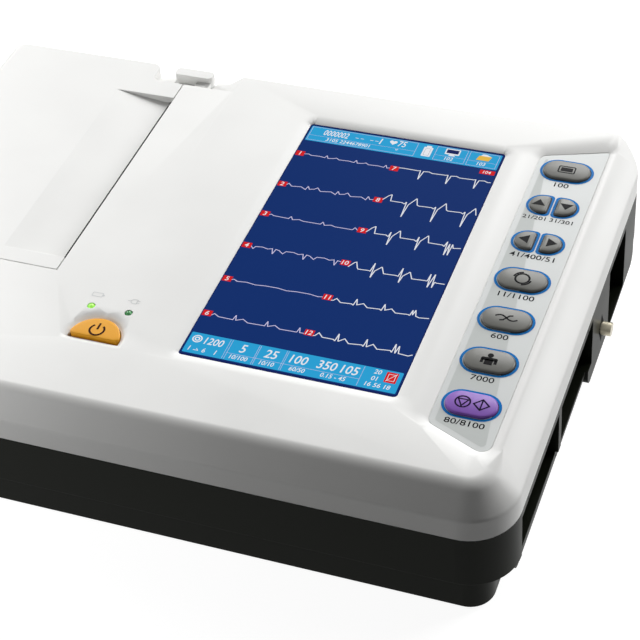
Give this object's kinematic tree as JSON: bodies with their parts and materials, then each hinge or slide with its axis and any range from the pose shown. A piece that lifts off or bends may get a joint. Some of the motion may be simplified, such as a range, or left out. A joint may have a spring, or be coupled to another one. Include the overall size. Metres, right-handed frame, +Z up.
{
  "type": "portable electrocardiograph",
  "caption": "Flat desktop heart-trace recorder with a tilted-edge pale shell, colour display, key column, half-moon power button and a hinged door over a thermal chart printer.",
  "frame": {"origin": "on the resting plane, at the middle of the overall width and depth", "axes": "+Z is up out of the display, +X points to the operator's right, towards the key column and connectors, and +Y points to the back edge"},
  "size_m": [0.3124, 0.225, 0.0625],
  "materials": {
    "case_light": "fine moulded texture",
    "case_dark": "fine moulded texture",
    "rubber": "matte",
    "battery_wrap": "shrink sleeve",
    "steel": "bright zinc",
    "window": "clear hard coat over a lit display",
    "gasket": "matte",
    "lcd": "pressed shield",
    "label": "printed film",
    "key_violet": "satin",
    "key_grey": "satin",
    "key_orange": "satin",
    "lamp": "diffused lens",
    "board": "solder mask",
    "nylon": "natural",
    "platen": "ground",
    "brass": "machined",
    "brass_stud": "plated",
    "motor_can": "drawn can",
    "frame_steel": "zinc-plated sheet",
    "ceramic": "glazed",
    "heatsink": "extruded",
    "well": "moulded",
    "paper": "coated paper",
    "card": "wound card",
    "speaker": "paper cone",
    "cable": "polyimide film",
    "shell_metal": "nickel-plated",
    "socket": "moulded"
  },
  "bodies": {
    "case": {"bottom_case": "case_dark", "rubber_feet": "rubber", "battery_cover": "case_dark", "battery_pack": "battery_wrap", "battery_screw": "steel", "case_screws": "steel", "top_cover": "case_light", "display_window": "window", "display_gasket": "gasket", "lcd_module": "lcd", "key_label": "label", "keypad_board": "board", "status_lamps": "lamp", "power_board": "board", "hinge_pins": "steel", "idler_post": "steel", "stepper_motor": "motor_can", "printer_frame": "frame_steel", "thermal_head": "ceramic", "head_heatsink": "heatsink", "head_springs": "steel", "tear_bar": "steel", "paper_well": "well", "latch_pin": "steel", "latch_spring": "steel", "main_board": "board", "board_screws": "steel", "power_supply": "board", "speaker": "speaker", "ribbon_cables": "cable", "io_board": "board", "patient_port": "shell_metal", "signal_port": "socket", "serial_port": "shell_metal", "usb_port": "shell_metal", "mains_inlet": "socket", "fuse_drawer": "socket", "earth_stud": "brass_stud"},
    "door": {"paper_door": "case_light", "platen_bushes": "nylon"},
    "platen": {"platen_roller": "platen", "platen_shaft": "steel", "platen_gear": "nylon"},
    "idler": {"idler_gear": "nylon"},
    "pinion": {"motor_pinion": "brass", "motor_shaft": "steel"},
    "roll": {"paper_roll": "paper", "roll_core": "card", "roll_spindle": "well"},
    "latch": {"release_latch": "case_light"},
    "press_run": {"key_run": "key_violet"},
    "press_patient": {"key_patient": "key_grey"},
    "press_filter": {"key_filter": "key_grey"},
    "press_mode": {"key_mode": "key_grey"},
    "press_left": {"key_left": "key_grey"},
    "press_right": {"key_right": "key_grey"},
    "press_up": {"key_up": "key_grey"},
    "press_down": {"key_down": "key_grey"},
    "press_menu": {"key_menu": "key_grey"},
    "press_power": {"power_button": "key_orange"}
  },
  "joints": [
    {"name": "door_hinge", "type": "hinge", "parent": "case", "child": "door", "pos_m": [-0.15125, 0.0288, 0.057], "axis": [0, -1, 0], "range_deg": [0, 80]},
    {"name": "platen_spin", "type": "hinge", "parent": "door", "child": "platen", "pos_m": [-0.07045, 0.0288, 0.0475], "axis": [0, -1, 0], "continuous": true},
    {"name": "idler_spin", "type": "hinge", "parent": "case", "child": "idler", "pos_m": [-0.07045, 0.0975, 0.0315], "axis": [0, -1, 0], "continuous": true},
    {"name": "pinion_spin", "type": "hinge", "parent": "case", "child": "pinion", "pos_m": [-0.05975, 0.0875, 0.02186], "axis": [0, -1, 0], "continuous": true},
    {"name": "roll_spin", "type": "hinge", "parent": "case", "child": "roll", "pos_m": [-0.11475, 0.0288, 0.029], "axis": [0, -1, 0], "continuous": true},
    {"name": "latch_tilt", "type": "hinge", "parent": "case", "child": "latch", "pos_m": [-0.05495, 0.1061, 0.046], "axis": [-1, 0, 0], "range_deg": [0, 10], "stiffness_Nm_per_rad": 0.2},
    {"name": "key_run_press", "type": "slide", "parent": "case", "child": "press_run", "axis": [0, 0, -1], "range_m": [0, 0.001], "stiffness_N_per_m": 900},
    {"name": "key_patient_press", "type": "slide", "parent": "case", "child": "press_patient", "axis": [0, 0, -1], "range_m": [0, 0.001], "stiffness_N_per_m": 900},
    {"name": "key_filter_press", "type": "slide", "parent": "case", "child": "press_filter", "axis": [0, 0, -1], "range_m": [0, 0.001], "stiffness_N_per_m": 900},
    {"name": "key_mode_press", "type": "slide", "parent": "case", "child": "press_mode", "axis": [0, 0, -1], "range_m": [0, 0.001], "stiffness_N_per_m": 900},
    {"name": "key_left_press", "type": "slide", "parent": "case", "child": "press_left", "axis": [0, 0, -1], "range_m": [0, 0.001], "stiffness_N_per_m": 900},
    {"name": "key_right_press", "type": "slide", "parent": "case", "child": "press_right", "axis": [0, 0, -1], "range_m": [0, 0.001], "stiffness_N_per_m": 900},
    {"name": "key_up_press", "type": "slide", "parent": "case", "child": "press_up", "axis": [0, 0, -1], "range_m": [0, 0.001], "stiffness_N_per_m": 900},
    {"name": "key_down_press", "type": "slide", "parent": "case", "child": "press_down", "axis": [0, 0, -1], "range_m": [0, 0.001], "stiffness_N_per_m": 900},
    {"name": "key_menu_press", "type": "slide", "parent": "case", "child": "press_menu", "axis": [0, 0, -1], "range_m": [0, 0.001], "stiffness_N_per_m": 900},
    {"name": "power_press", "type": "slide", "parent": "case", "child": "press_power", "axis": [0, 0, -1], "range_m": [0, 0.001], "stiffness_N_per_m": 900}
  ],
  "couplings": [
    {"joint": "idler_spin", "follows": "platen_spin", "ratio": -0.81818},
    {"joint": "pinion_spin", "follows": "platen_spin", "ratio": 1.2857}
  ]
}
